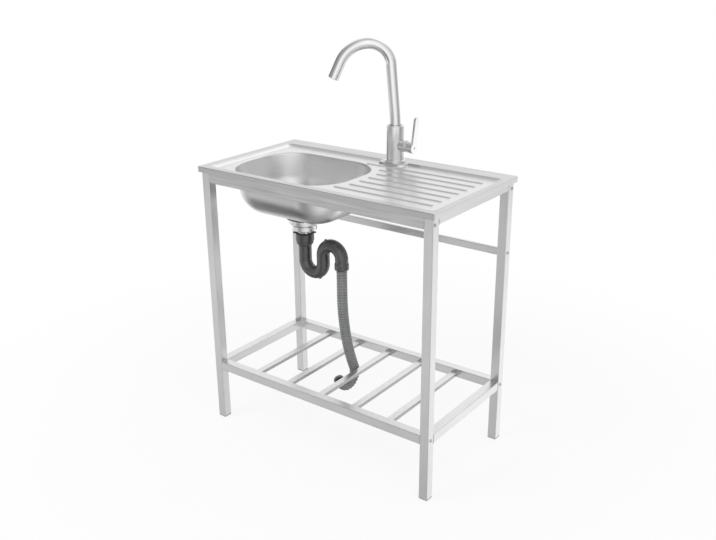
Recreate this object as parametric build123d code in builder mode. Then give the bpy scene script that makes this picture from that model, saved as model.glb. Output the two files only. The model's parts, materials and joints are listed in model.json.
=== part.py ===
from build123d import *
import math
import os

# Kitchen sink unit: a pressed steel sink top with one bowl and a draining board, on a knock-down
# tube frame with a slatted shelf, with a swivel mixer tap, a basket strainer, an S-bend and a drain hose.
# Millimetres. The origin is on the floor under the middle of the sink top, X to the right along the
# front, Y to the back, Z up.

# ---------------------------------------------------------------- driving dimensions
# sink top
top_length = 750.0
top_width = 400.0
top_height = 765.0
sheet = 1.2
skirt_height = 15.0
top_corner_radius = 3.0
top_edge_radius = 1.8
border_left = 24.0
border_right = 16.0
border_front = 20.5
border_back = 49.0
recess_depth = 7.0
slope_left = 10.0
slope_right = 8.0
slope_front = 4.0
slope_back = 8.0
recess_corner = 10.0
recess_rounding = 1.6
# draining ridges
ridge_count = 7
ridge_pitch = 39.0
ridge_first_y = -127.0
ridge_width = 13.0
ridge_height = 2.6
ridge_slope = 45.0
ridge_right_x = 327.0
ridge_bowl_gap = 19.0
# bowl
bowl_x = -149.0
bowl_y = -30.0
bowl_half_length = 178.0
bowl_half_width = 138.0
bowl_corner = 105.0
bowl_depth = 125.5
bowl_taper = 10.0
bowl_floor_radius = 76.0
bowl_shoulder = 6.4
bowl_flange = 7.0
# frame
leg_inset = 7.4
leg_size = 25.0
tube_wall = 1.2
tube_corner = 1.5
rail_gap = 0.3
upper_rail_depth = 15.0
front_rail_drop = 28.5
side_rail_drop = 18.5
upper_bolt_height = 734.0
brace_depth = 10.0
brace_height = 20.0
brace_bottom = 550.5
shelf_rail_size = 25.0
shelf_rail_bottom = 159.0
bar_count = 5
bar_width = 20.0
bar_height = 10.0
bar_bottom = 165.0
foot_height = 4.0
foot_edge = 1.0
foot_plug_wall = 2.5
foot_plug_length = 14.0
foot_clearance = 0.2
bolt_diameter = 5.0
bolt_clearance = 0.2
bolt_head_diameter = 8.5
bolt_head_height = 1.8
bolt_head_slope = 14.0
bolt_socket = 3.0
bolt_socket_depth = 1.2
bolt_end_gap = 2.0
plug_length = 16.0
plug_clearance = 0.1
# waste
strainer_flange_diameter = 112.0
strainer_flange_thickness = 1.5
strainer_seat_depth = 3.0
strainer_seat_slope = 45.0
strainer_seat_clearance = 1.0
strainer_hole_clearance = 1.0
strainer_cup_diameter = 84.0
strainer_cup_wall = 1.5
strainer_cup_depth = 25.5
strainer_waist_diameter = 69.0
strainer_waist_depth = 31.5
strainer_base_depth = 43.5
strainer_neck_diameter = 43.0
strainer_neck_start = 49.5
strainer_neck_depth = 67.5
strainer_neck_wall = 2.0
waste_clearance = 0.3
gasket_diameter = 104.0
gasket_thickness = 3.0
lock_nut_diameter = 96.0
lock_nut_height = 8.0
lock_nut_lugs = 6
lock_nut_lug_width = 14.0
lock_nut_lug_height = 3.0
basket_clearance = 1.0
basket_wall = 1.5
basket_rim_depth = 4.5
basket_rim_width = 4.5
basket_floor_depth = 24.0
basket_floor_diameter = 50.0
basket_slot_count = 16
basket_slot_width = 3.0
basket_slot_length = 6.0
basket_floor_holes = 10
basket_hole_diameter = 4.2
basket_hole_ring = 31.0
stopper_diameter = 52.0
stopper_thickness = 3.0
knob_diameter = 20.0
knob_height = 9.0
knob_lift = 10.8
knob_edge = 3.0
knob_stem_diameter = 6.0
slip_nut_diameter = 51.5
slip_nut_top = 573.5
slip_nut_step = 553.5
slip_nut_lower_diameter = 48.0
slip_nut_taper_start = 546.0
slip_nut_bottom = 540.0
slip_nut_lip = 2.0
washer_thickness = 2.5
washer_ear_reach = 31.5
washer_ear_width = 8.0
washer_ear_angle = 36.87
trap_diameter = 36.0
trap_wall = 3.5
trap_bend_radius = 32.0
trap_lower_centre = 497.0
trap_upper_centre = 522.0
trap_flare_thickness = 4.0
trap_flare_bottom = 553.8
collar_diameter = 39.5
collar_bottom = 492.5
collar_height = 21.0
collar_socket_depth = 13.0
collar_taper = 2.5
collar_top_taper = 5.0
lug_diameter = 8.0
lug_height = 2.2
upper_lug_angle = 117.0
lower_lug_angle = -66.0
hose_diameter = 30.0
hose_root_diameter = 26.0
hose_bore = 22.5
hose_rib_pitch = 8.5
hose_crest_start = 0.25
hose_crest_end = 0.6
hose_valley_start = 0.85
hose_bend_share = 0.45
# tap
tap_x = 30.0
tap_setback = 52.0
plateau_length = 84.0
plateau_reach = 30.0
plateau_corner = 22.0
plateau_slope = 4.0
tap_ring_ledge = 5.0
tap_ring_height = 6.0
tap_ring_edge = 2.0
tap_body_shoulder = 9.25
tap_body_height = 93.0
tap_body_wall = 3.0
tap_body_floor = 8.0
tap_body_edge = 1.0
spout_diameter = 28.5
spout_wall = 1.6
spout_fit = 0.06
spout_insert = 30.0
spout_lean_start = 2.0
spout_lean_radius = 300.0
spout_lean = 4.65
spout_rise = 259.5
spout_crown_radius = 60.0
spout_fall_radius = 81.0
spout_fall_angle = 65.5
spout_end_length = 37.0
spout_heading = 216.87
bush_wall = 4.8
bush_lip = 1.5
bush_rim = 1.2
bush_floor = 2.7
ring_section = 1.7
aerator_length = 10.0
aerator_wall = 3.0
aerator_edge = 1.0
aerator_spigot = 8.0
aerator_insert_length = 7.0
aerator_insert_fit = 0.1
aerator_rows = 4
aerator_hole_pitch = 4.0
aerator_hole_diameter = 1.8
valve_height = 46.0
valve_diameter = 31.0
valve_wall = 3.0
valve_floor = 2.0
valve_edge = 0.5
valve_length = 14.5
valve_inner_end = 12.0
pivot_gap = 4.0
tap_clearance = 0.3
dome_radius = 12.6
dome_bore = 17.0
cartridge_front = 14.0
rotor_diameter = 14.0
rotor_fit = 0.06
rotor_length = 24.0
rotor_fork = 4.0
rotor_slot_floor = 5.0
rotor_slot = 6.4
hub_gap = 0.4
hub_start = 3.6
hub_end = 20.6
hub_edge = 1.0
lever_lean = 6.0
lever_length = 84.0
lever_root = 8.0
lever_root_width = 20.0
lever_tip_width = 17.0
lever_thickness = 6.0
lever_edge = 1.5
stem_diameter = 6.0
stem_start = -3.5
stem_end = 18.0
stem_end_gap = 0.2
stem_seat_fit = 0.1
stem_pin_diameter = 2.5
stem_pin_fit = 0.05
stem_pin_inset = 0.2
grub_diameter = 4.0
grub_place = 15.5
grub_fit = 0.1
grub_recess = 1.5
grub_socket = 2.0
grub_socket_depth = 1.6
cap_diameter = 7.0
cap_thickness = 1.2
cap_fit = 0.1
shank_diameter = 28.0
shank_length = 58.0
shank_bore = 20.0
shank_hole_clearance = 2.0
shank_washer_diameter = 48.0
shank_gasket_thickness = 3.0
shank_washer_thickness = 2.0
shank_nut_across_flats = 41.0
shank_nut_height = 10.0
tail_diameter = 9.0
tail_bore = 6.0
tail_spacing = 10.4
tail_length = 24.0

# ---------------------------------------------------------------- sizes worked out from them
skirt_bottom = top_height - skirt_height
deck_height = top_height - recess_depth
deck_under = deck_height - sheet
frame_length = top_length - 2 * leg_inset
frame_width = top_width - 2 * leg_inset
leg_x = frame_length / 2 - leg_size / 2
leg_y = frame_width / 2 - leg_size / 2
frame_top = deck_under - rail_gap
long_rail_length = frame_length - 2 * leg_size
short_rail_length = frame_width - 2 * leg_size
front_rail_bottom = skirt_bottom - front_rail_drop
side_rail_bottom = skirt_bottom - side_rail_drop
upper_rail_y = frame_width / 2 - upper_rail_depth / 2
upper_rail_x = frame_length / 2 - upper_rail_depth / 2
front_rail_middle = (front_rail_bottom + frame_top) / 2
side_rail_middle = (side_rail_bottom + frame_top) / 2
brace_middle = brace_bottom + brace_height / 2
shelf_rail_middle = shelf_rail_bottom + shelf_rail_size / 2
shelf_rail_x = frame_length / 2 - leg_size + shelf_rail_size / 2
shelf_rail_y = frame_width / 2 - leg_size + shelf_rail_size / 2
bowl_floor = deck_height - bowl_depth
seat_floor = bowl_floor - strainer_seat_depth
seat_radius = (
    strainer_flange_diameter / 2
    + strainer_seat_clearance
    + strainer_seat_depth * math.tan(math.radians(strainer_seat_slope))
)
seat_under = seat_floor - sheet
plateau_taper = math.degrees(math.atan(plateau_slope / recess_depth))
plateau_y = top_width / 2 - border_back
tap_y = top_width / 2 - tap_setback
tap_body_diameter = spout_diameter + 2 * tap_body_shoulder
tap_ring_diameter = tap_body_diameter + 2 * tap_ring_ledge
trap_run = 2 * trap_bend_radius
outlet_x = bowl_x + 2 * trap_run
hose_start = collar_bottom + collar_socket_depth - waste_clearance
tap_ring_top = top_height + tap_ring_height
tap_body_top = tap_ring_top + tap_body_height
valve_z = top_height + valve_height
pivot_x = tap_x + tap_body_diameter / 2 + valve_length + pivot_gap
spout_bottom = tap_body_top - spout_insert
spout_crown_start = top_height + spout_rise
spout_direction = (math.cos(math.radians(spout_heading)), math.sin(math.radians(spout_heading)), 0)
plateau_under = top_height - sheet

# the drain hose's route from the trap's outlet: down, behind the shelf bars and up to its free end
hose_route = [
    (outlet_x, bowl_y, hose_start),
    (outlet_x, bowl_y, 445.0),
    (-25.0, -24.0, 372.0),
    (-29.0, -9.0, 300.0),
    (-30.0, 6.0, 240.0),
    (-29.0, 21.0, 186.0),
    (-28.0, 33.0, 152.0),
    (-28.0, 11.0, 124.0),
    (-28.0, -25.0, 126.0),
    (-28.0, -43.0, 157.0),
]

os.makedirs("parts", exist_ok=True)


def save(builder, name):
    builder.part.label = name
    export_step(builder.part, f"parts/{name}.step")


# ---------------------------------------------------------------- frame
def along_x(x, y, z):
    return Plane(origin=(x, y, z), x_dir=(0, 1, 0), z_dir=(1, 0, 0))


def along_y(x, y, z):
    return Plane(origin=(x, y, z), x_dir=(-1, 0, 0), z_dir=(0, 1, 0))


def make_tube(name, plane, wide, tall, length):
    with BuildPart() as tube:
        with BuildSketch(plane):
            RectangleRounded(wide, tall, tube_corner)
            RectangleRounded(wide - 2 * tube_wall, tall - 2 * tube_wall, tube_corner / 2, mode=Mode.SUBTRACT)
        extrude(amount=length)
    save(tube, name)


def bolt_places(rear):
    """Y and Z of each bolt along X, and the middle, width and height of the rail's section that it holds."""
    side = 1 if rear else -1
    upper_height = frame_top - front_rail_bottom
    places = [
        (side * upper_rail_y, upper_bolt_height, front_rail_middle, upper_rail_depth, upper_height),
        (side * shelf_rail_y, shelf_rail_middle, shelf_rail_middle, shelf_rail_size, shelf_rail_size),
    ]
    if rear:
        places.append((leg_y, brace_middle, brace_middle, brace_depth, brace_height))
    return places


def make_leg(name, side_x, side_y):
    centre_x = side_x * leg_x
    centre_y = side_y * leg_y
    with BuildPart() as leg:
        with BuildSketch(Plane.XY.offset(foot_height)):
            with Locations((centre_x, centre_y)):
                RectangleRounded(leg_size, leg_size, tube_corner)
                RectangleRounded(leg_size - 2 * tube_wall, leg_size - 2 * tube_wall, tube_corner / 2, mode=Mode.SUBTRACT)
        extrude(amount=frame_top - foot_height)
        for y, z, middle, wide, tall in bolt_places(side_y > 0):
            with BuildSketch(along_x(centre_x - leg_size, y, z)):
                Circle((bolt_diameter + bolt_clearance) / 2)
            extrude(amount=2 * leg_size, mode=Mode.SUBTRACT)
    save(leg, name)


def make_foot(name, side_x, side_y):
    plug = leg_size - 2 * tube_wall - 2 * foot_clearance
    with BuildPart() as foot:
        with BuildSketch(Plane.XY):
            with Locations((side_x * leg_x, side_y * leg_y)):
                RectangleRounded(leg_size, leg_size, tube_corner)
        extrude(amount=foot_height)
        fillet(foot.faces().sort_by(Axis.Z)[0].edges(), foot_edge)
        with BuildSketch(Plane.XY.offset(foot_height)):
            with Locations((side_x * leg_x, side_y * leg_y)):
                RectangleRounded(plug, plug, tube_corner)
                hollow = plug - 2 * foot_plug_wall
                Rectangle(hollow, hollow, mode=Mode.SUBTRACT)
        extrude(amount=foot_plug_length)
        chamfer(foot.faces().sort_by(Axis.Z)[-1].outer_wire().edges(), foot_edge)
    save(foot, name)


def make_bolts():
    grip = leg_size + plug_length - bolt_end_gap
    head_plane = frame_length / 2
    with BuildPart() as bolts:
        for side in (-1, 1):
            for rear in (False, True):
                for y, z, middle, wide, tall in bolt_places(rear):
                    outward = Plane(origin=(side * head_plane, y, z), x_dir=(0, 1, 0), z_dir=(side, 0, 0))
                    with BuildSketch(outward):
                        Circle(bolt_head_diameter / 2)
                    extrude(amount=bolt_head_height, taper=bolt_head_slope)
                    with BuildSketch(outward):
                        Circle(bolt_diameter / 2)
                    extrude(amount=-grip)
                    with BuildSketch(outward.offset(bolt_head_height)):
                        RegularPolygon(bolt_socket / 2, 6, major_radius=False)
                    extrude(amount=-bolt_socket_depth, mode=Mode.SUBTRACT)
    save(bolts, "frame_bolts")


def make_end_plugs():
    """Threaded plugs inside the ends of the long rails."""
    inner = frame_length / 2 - leg_size
    less = 2 * tube_wall + 2 * plug_clearance
    with BuildPart() as plugs:
        for side in (-1, 1):
            for rear in (False, True):
                for y, z, middle, wide, tall in bolt_places(rear):
                    inward = Plane(origin=(side * inner, y, middle), x_dir=(0, 1, 0), z_dir=(-side, 0, 0))
                    with BuildSketch(inward):
                        RectangleRounded(wide - less, tall - less, tube_corner)
                        with Locations((0, side * (middle - z))):
                            Circle(bolt_diameter / 2, mode=Mode.SUBTRACT)
                    extrude(amount=plug_length)
    save(plugs, "rail_end_plugs")


def make_frame():
    for side_y, depth_word in ((-1, "front"), (1, "rear")):
        for side_x, side_word in ((-1, "left"), (1, "right")):
            make_leg(f"leg_{depth_word}_{side_word}", side_x, side_y)
            make_foot(f"foot_{depth_word}_{side_word}", side_x, side_y)
        make_tube(
            f"upper_rail_{depth_word}",
            along_x(-long_rail_length / 2, side_y * upper_rail_y, front_rail_middle),
            upper_rail_depth,
            frame_top - front_rail_bottom,
            long_rail_length,
        )
        make_tube(
            f"shelf_rail_{depth_word}",
            along_x(-long_rail_length / 2, side_y * shelf_rail_y, shelf_rail_middle),
            shelf_rail_size,
            shelf_rail_size,
            long_rail_length,
        )
    for side_x, side_word in ((-1, "left"), (1, "right")):
        make_tube(
            f"upper_rail_{side_word}",
            along_y(side_x * upper_rail_x, -short_rail_length / 2, side_rail_middle),
            upper_rail_depth,
            frame_top - side_rail_bottom,
            short_rail_length,
        )
        make_tube(
            f"shelf_rail_{side_word}",
            along_y(side_x * shelf_rail_x, -short_rail_length / 2, shelf_rail_middle),
            shelf_rail_size,
            shelf_rail_size,
            short_rail_length,
        )
    make_tube(
        "upper_back_brace",
        along_x(-long_rail_length / 2, leg_y, brace_middle),
        brace_depth,
        brace_height,
        long_rail_length,
    )
    bar_length = short_rail_length
    bar_pitch = long_rail_length / (bar_count + 1)
    for number in range(bar_count):
        x = (number - (bar_count - 1) / 2) * bar_pitch
        plane = along_y(x, -bar_length / 2, bar_bottom + bar_height / 2)
        make_tube(f"shelf_bar_{number + 1}", plane, bar_width, bar_height, bar_length)
    make_bolts()
    make_end_plugs()


# ---------------------------------------------------------------- sink top
def recess_form(under):
    """The recess as a solid, of the upper skin for under 0 or of the lower skin for one sheet."""
    sides = [
        (-top_length / 2 + border_left, slope_left),
        (top_length / 2 - border_right, -slope_right),
        (-top_width / 2 + border_front, slope_front),
        (top_width / 2 - border_back, -slope_back),
    ]
    with BuildPart() as form:
        for level in (0.0, recess_depth + under):
            edges = []
            for edge, slope in sides:
                skin = under * math.hypot(slope, recess_depth) / recess_depth
                edges.append(edge + slope * level / recess_depth - math.copysign(skin, slope))
            left, right, front, back = edges
            with BuildSketch(Plane.XY.offset(top_height - level)):
                with Locations(((left + right) / 2, (front + back) / 2)):
                    RectangleRounded(right - left, back - front, recess_corner)
        loft(ruled=True)
    return form


def plateau_form(under):
    """The raised place under the tap, of the upper skin for under 0 or of the lower skin for one sheet."""
    with BuildPart() as form:
        with BuildSketch(Plane.XY.offset(top_height - under)):
            with Locations((tap_x, plateau_y)):
                RectangleRounded(
                    plateau_length - 2 * under, 2 * (plateau_reach - under), plateau_corner - under
                )
        extrude(amount=-recess_depth, taper=-plateau_taper)
    return form


def bowl_right_edge(y):
    """X of the bowl's right side at this Y."""
    past = abs(y - bowl_y) - (bowl_half_width - bowl_corner)
    if past <= 0:
        return bowl_x + bowl_half_length
    reach = math.sqrt(max(bowl_corner**2 - past**2, 0))
    return bowl_x + bowl_half_length - bowl_corner + reach


def ridge_rows():
    for number in range(ridge_count):
        y = ridge_first_y + number * ridge_pitch
        start = bowl_right_edge(y) + bowl_flange + ridge_bowl_gap
        if y > plateau_y - plateau_reach - ridge_width:
            start = max(start, tap_x + plateau_length / 2 + ridge_bowl_gap)
        yield y, start, ridge_right_x


def make_deck():
    with BuildPart() as hollow:
        with BuildSketch(Plane.XY.offset(skirt_bottom + sheet)):
            RectangleRounded(top_length - 2 * sheet, top_width - 2 * sheet, top_corner_radius - sheet)
        extrude(amount=skirt_height - 2 * sheet)
        with BuildSketch(Plane.XY.offset(skirt_bottom)):
            Rectangle(frame_length + 2 * rail_gap, frame_width + 2 * rail_gap)
        extrude(amount=sheet)
        add(recess_form(sheet).part, mode=Mode.SUBTRACT)
        add(plateau_form(sheet).part)
    with BuildPart() as sink_deck:
        with BuildSketch(Plane.XY.offset(skirt_bottom)):
            RectangleRounded(top_length, top_width, top_corner_radius)
        extrude(amount=skirt_height)
        fillet(sink_deck.faces().sort_by(Axis.Z)[-1].edges(), top_edge_radius)
        add(recess_form(0).part, mode=Mode.SUBTRACT)
        add(plateau_form(0).part)
        rim = sink_deck.faces().filter_by_position(Axis.Z, top_height - 0.01, top_height + 0.01)[0]
        fillet(rim.inner_wires()[0].edges(), recess_rounding)
        add(hollow.part, mode=Mode.SUBTRACT)
        with BuildSketch(Plane.XY.offset(deck_height)):
            for y, left, right in ridge_rows():
                with Locations(((left + right) / 2, y)):
                    SlotOverall(right - left, ridge_width)
        extrude(amount=ridge_height, taper=ridge_slope)
        with BuildSketch(Plane.XY.offset(deck_under)):
            for y, left, right in ridge_rows():
                with Locations(((left + right) / 2, y)):
                    SlotOverall(right - left - sheet, ridge_width - sheet)
        extrude(amount=ridge_height, taper=ridge_slope, mode=Mode.SUBTRACT)
        with BuildSketch(Plane.XY.offset(deck_height)):
            with Locations((bowl_x, bowl_y)):
                RectangleRounded(
                    2 * (bowl_half_length + bowl_flange),
                    2 * (bowl_half_width + bowl_flange),
                    bowl_corner + bowl_flange,
                )
        extrude(amount=-2 * sheet, mode=Mode.SUBTRACT)
        with BuildSketch(Plane.XY.offset(top_height)):
            with Locations((tap_x, tap_y)):
                Circle(shank_diameter / 2 + shank_hole_clearance)
        extrude(amount=-2 * sheet, mode=Mode.SUBTRACT)
    save(sink_deck, "sink_deck")


def bowl_form(grow, top):
    """The bowl's inside for grow 0 and top deck_height, or its outside for grow and top one sheet on."""
    with BuildPart() as form:
        with BuildSketch(Plane.XY.offset(top)):
            with Locations((bowl_x, bowl_y)):
                RectangleRounded(
                    2 * (bowl_half_length + grow), 2 * (bowl_half_width + grow), bowl_corner + grow
                )
        extrude(amount=-(top - bowl_floor + grow), taper=bowl_taper)
        fillet(form.faces().sort_by(Axis.Z)[0].edges(), bowl_floor_radius + grow)
        with BuildSketch(Plane.XY.offset(bowl_floor)):
            with Locations((bowl_x, bowl_y)):
                Circle(seat_radius + grow * math.tan(math.radians(strainer_seat_slope / 2)))
        extrude(amount=-(strainer_seat_depth + grow), taper=strainer_seat_slope)
    return form


def make_bowl():
    outside = bowl_form(sheet, deck_under)
    inside = bowl_form(0, deck_height)
    flange_length = 2 * (bowl_half_length + bowl_flange)
    flange_width = 2 * (bowl_half_width + bowl_flange)
    spare = 2 * bowl_corner
    with BuildPart() as skin:
        add(outside.part)
        with BuildSketch(Plane.XY.offset(deck_under)):
            with Locations((bowl_x, bowl_y)):
                RectangleRounded(flange_length, flange_width, bowl_corner + bowl_flange)
        extrude(amount=sheet)
        ledge = skin.faces().filter_by_position(Axis.Z, deck_under - 0.01, deck_under + 0.01)[0]
        fillet(ledge.inner_wires()[0].edges(), bowl_shoulder - sheet)
    with BuildPart() as hollow:
        add(inside.part)
        with BuildSketch(Plane.XY.offset(deck_height)):
            with Locations((bowl_x, bowl_y)):
                Rectangle(flange_length + spare, flange_width + spare)
        extrude(amount=spare)
        ledge = hollow.faces().filter_by_position(Axis.Z, deck_height - 0.01, deck_height + 0.01)[0]
        fillet(ledge.inner_wires()[0].edges(), bowl_shoulder)
    with BuildPart() as sink_bowl:
        add(skin.part)
        add(hollow.part, mode=Mode.SUBTRACT)
        with BuildSketch(Plane.XY.offset(seat_floor)):
            with Locations((bowl_x, bowl_y)):
                Circle(strainer_cup_diameter / 2 + strainer_hole_clearance)
        extrude(amount=-2 * sheet, mode=Mode.SUBTRACT)
    save(sink_bowl, "sink_bowl")


# ---------------------------------------------------------------- waste
def upright(x, y):
    """A plane through an upright axis: its X is the radius and its Y is the height."""
    return Plane(origin=(x, y, 0), x_dir=(1, 0, 0), z_dir=(0, -1, 0))


def turned(plane, profile):
    """A solid of revolution about the plane's Y axis, from pairs of radius and height."""
    with BuildPart() as blank:
        with BuildSketch(plane):
            Polygon(*profile, align=None)
        revolve(axis=Axis(plane.origin, plane.y_dir))
    return blank


def ring(plane, outer, inner, low, high):
    return turned(plane, [(inner, low), (outer, low), (outer, high), (inner, high)])


def make_strainer():
    plane = upright(bowl_x, bowl_y)
    cup = strainer_cup_diameter / 2
    waist = strainer_waist_diameter / 2
    neck = strainer_neck_diameter / 2
    wall = strainer_cup_wall
    base = seat_floor - strainer_base_depth
    strainer_body = turned(
        plane,
        [
            (cup, seat_floor),
            (strainer_flange_diameter / 2, seat_floor),
            (strainer_flange_diameter / 2 - wall, seat_floor + strainer_flange_thickness),
            (cup + wall, seat_floor + strainer_flange_thickness),
            (cup - wall, seat_floor - wall),
            (cup - wall, seat_floor - strainer_cup_depth + wall / 2),
            (waist - wall, seat_floor - strainer_waist_depth + wall / 2),
            (waist - wall, base + wall),
            (neck + strainer_neck_wall / 2, base + wall),
            (neck - strainer_neck_wall, base - wall),
            (neck - strainer_neck_wall, seat_floor - strainer_neck_depth),
            (neck, seat_floor - strainer_neck_depth),
            (neck, seat_floor - strainer_neck_start),
            (waist, base),
            (waist, seat_floor - strainer_waist_depth),
            (cup, seat_floor - strainer_cup_depth),
        ],
    )
    save(strainer_body, "strainer_body")
    hole = cup + waste_clearance
    save(
        ring(plane, gasket_diameter / 2, hole, seat_under - gasket_thickness, seat_under),
        "strainer_gasket",
    )
    nut_top = seat_under - gasket_thickness
    lug_ring = lock_nut_diameter / 2 - lock_nut_lug_height
    with BuildPart() as lock_nut:
        with BuildSketch(Plane.XY.offset(nut_top)):
            with Locations((bowl_x, bowl_y)):
                Circle(lug_ring)
                with PolarLocations(lug_ring, lock_nut_lugs):
                    Rectangle(2 * lock_nut_lug_height, lock_nut_lug_width)
                Circle(hole, mode=Mode.SUBTRACT)
        extrude(amount=-lock_nut_height)
    save(lock_nut, "strainer_locknut")


def make_basket():
    plane = upright(bowl_x, bowl_y)
    rim = strainer_cup_diameter / 2 - strainer_cup_wall - basket_clearance
    top = seat_floor - basket_rim_depth
    floor = seat_floor - basket_floor_depth
    inner = basket_floor_diameter / 2
    stem = knob_stem_diameter / 2
    shell = turned(
        plane,
        [
            (stem, floor),
            (inner, floor),
            (rim - basket_rim_width, top - basket_wall),
            (rim, top - basket_wall),
            (rim, top),
            (rim - basket_rim_width - basket_wall, top),
            (inner - basket_wall, floor + basket_wall),
            (stem, floor + basket_wall),
        ],
    )
    with BuildPart() as basket:
        add(shell.part)
        with BuildSketch(Plane.XY.offset(floor)):
            with Locations((bowl_x, bowl_y)):
                with PolarLocations((inner + rim - basket_rim_width) / 2, basket_slot_count):
                    SlotOverall(basket_slot_length, basket_slot_width)
                with PolarLocations(basket_hole_ring / 2, basket_floor_holes):
                    Circle(basket_hole_diameter / 2)
        extrude(amount=basket_floor_depth, mode=Mode.SUBTRACT)
    save(basket, "strainer_basket")
    seat = seat_floor - strainer_base_depth + strainer_cup_wall
    save(ring(plane, stopper_diameter / 2, stem, seat, seat + stopper_thickness), "basket_stopper")
    crown = floor + knob_lift
    grip = knob_diameter / 2
    knob = turned(
        plane,
        [
            (0, seat),
            (stem, seat),
            (stem, crown),
            (grip - knob_edge, crown),
            (grip, crown + knob_edge),
            (grip, crown + knob_height - knob_edge),
            (grip - knob_edge, crown + knob_height),
            (0, crown + knob_height),
        ],
    )
    save(knob, "basket_knob")


def make_trap():
    plane = upright(bowl_x, bowl_y)
    neck = strainer_neck_diameter / 2 + waste_clearance
    nut = slip_nut_diameter / 2
    lower = slip_nut_lower_diameter / 2
    pipe = trap_diameter / 2
    shoulder = trap_flare_bottom - waste_clearance
    slip_nut = turned(
        plane,
        [
            (pipe + waste_clearance, slip_nut_bottom),
            (pipe + slip_nut_lip, slip_nut_bottom),
            (lower, slip_nut_taper_start),
            (lower, slip_nut_step - slip_nut_lip),
            (nut, slip_nut_step),
            (nut, slip_nut_top),
            (neck, slip_nut_top),
            (neck, shoulder),
            (pipe + waste_clearance, shoulder),
        ],
    )
    save(slip_nut, "trap_slip_nut")
    with BuildPart() as washer:
        with BuildSketch(Plane.XY.offset(slip_nut_top)):
            with Locations((bowl_x, bowl_y)):
                Circle(nut)
                with PolarLocations(washer_ear_reach / 2, 4, start_angle=washer_ear_angle):
                    Rectangle(washer_ear_reach, washer_ear_width)
                Circle(neck, mode=Mode.SUBTRACT)
        extrude(amount=washer_thickness)
    save(washer, "trap_washer")
    flare_top = trap_flare_bottom + trap_flare_thickness
    seal_top = seat_floor - strainer_neck_depth
    save(ring(plane, neck - 2 * waste_clearance, pipe - trap_wall, flare_top, seal_top), "trap_seal")
    with BuildPart() as trap:
        with BuildLine(plane) as route:
            Line((0, flare_top), (0, trap_lower_centre))
            CenterArc((trap_bend_radius, trap_lower_centre), trap_bend_radius, 180, 180)
            Line((trap_run, trap_lower_centre), (trap_run, trap_upper_centre))
            CenterArc((trap_run + trap_bend_radius, trap_upper_centre), trap_bend_radius, 180, -180)
            Line((2 * trap_run, trap_upper_centre), (2 * trap_run, collar_bottom))
        with BuildSketch(Plane.XY.offset(flare_top)):
            with Locations((bowl_x, bowl_y)):
                Circle(pipe)
        sweep(path=route.line)
        with BuildSketch(Plane.XY.offset(trap_flare_bottom)):
            with Locations((bowl_x, bowl_y)):
                Circle(neck - 2 * waste_clearance)
        extrude(amount=trap_flare_thickness)
        collar = collar_diameter / 2
        collar_top = collar_bottom + collar_height
        with BuildSketch(plane):
            Polygon(
                (trap_run * 2, collar_bottom),
                (trap_run * 2 + collar - collar_taper / 2, collar_bottom),
                (trap_run * 2 + collar, collar_bottom + collar_taper),
                (trap_run * 2 + collar, collar_top - collar_top_taper),
                (trap_run * 2 + pipe, collar_top),
                (trap_run * 2, collar_top),
                align=None,
            )
        revolve(axis=Axis((outlet_x, bowl_y, 0), (0, 0, 1)))
        lugs = [
            (trap_run + trap_bend_radius, trap_upper_centre, upper_lug_angle),
            (trap_bend_radius, trap_lower_centre, lower_lug_angle),
        ]
        for centre, height, angle in lugs:
            outward = Vector(math.cos(math.radians(angle)), 0, math.sin(math.radians(angle)))
            middle = Vector(bowl_x + centre, bowl_y, height)
            with BuildSketch(Plane(origin=middle + outward * trap_bend_radius, x_dir=(0, 1, 0), z_dir=outward)):
                Circle(lug_diameter / 2)
            extrude(amount=pipe + lug_height)
        with BuildSketch(Plane.XY.offset(flare_top)):
            with Locations((bowl_x, bowl_y)):
                Circle(pipe - trap_wall)
        sweep(path=route.line, mode=Mode.SUBTRACT)
        with BuildSketch(Plane.XY.offset(collar_bottom)):
            with Locations((outlet_x, bowl_y)):
                Circle(hose_diameter / 2 + waste_clearance)
        extrude(amount=collar_socket_depth, mode=Mode.SUBTRACT)
    save(trap, "trap_s_bend")


def bend_radii(route):
    """A radius for each corner, as large as the shorter of its two runs allows."""
    points = [Vector(*place) for place in route]
    radii = []
    for before, corner, after in zip(points, points[1:], points[2:]):
        into = corner - before
        out = after - corner
        turn = math.radians(into.get_angle(out))
        shorter = min(into.length, out.length)
        radii.append(hose_bend_share * shorter / math.tan(turn / 2))
    return radii


def make_hose():
    """A corrugated hose: a ruled skin through four circles a rib, bored through."""
    radii = bend_radii(hose_route)
    with BuildLine() as course:
        FilletPolyline(*hose_route, radius=radii)
    line = course.wire()
    ribs = round(line.length / hose_rib_pitch)
    print("hose length", round(line.length), "ribs", ribs, "bend radii", [round(r) for r in radii])
    pattern = [
        (0.0, hose_root_diameter),
        (hose_crest_start, hose_diameter),
        (hose_crest_end, hose_diameter),
        (hose_valley_start, hose_root_diameter),
    ]
    with BuildPart() as drain_hose:
        for rib in range(ribs):
            for share, diameter in pattern:
                place = (rib + share) / (ribs - 1 + hose_valley_start)
                along = line % place
                across = Vector(1, 0, 0) - along * along.X
                with BuildSketch(Plane(origin=line @ place, x_dir=across, z_dir=along)):
                    Circle(diameter / 2)
        loft(ruled=True)
        with BuildSketch(Plane(origin=line @ 0, x_dir=(1, 0, 0), z_dir=line % 0)):
            Circle(hose_bore / 2)
        sweep(path=line, mode=Mode.SUBTRACT)
    save(drain_hose, "drain_hose")


# ---------------------------------------------------------------- tap
def valve_plane(lean):
    """A plane through the valve's pivot: its Y runs outwards along the valve and its X is the radius."""
    angle = math.radians(lean)
    return Plane(
        origin=(pivot_x, tap_y, valve_z),
        x_dir=(math.sin(angle), 0, math.cos(angle)),
        z_dir=(0, 1, 0),
    )


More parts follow.
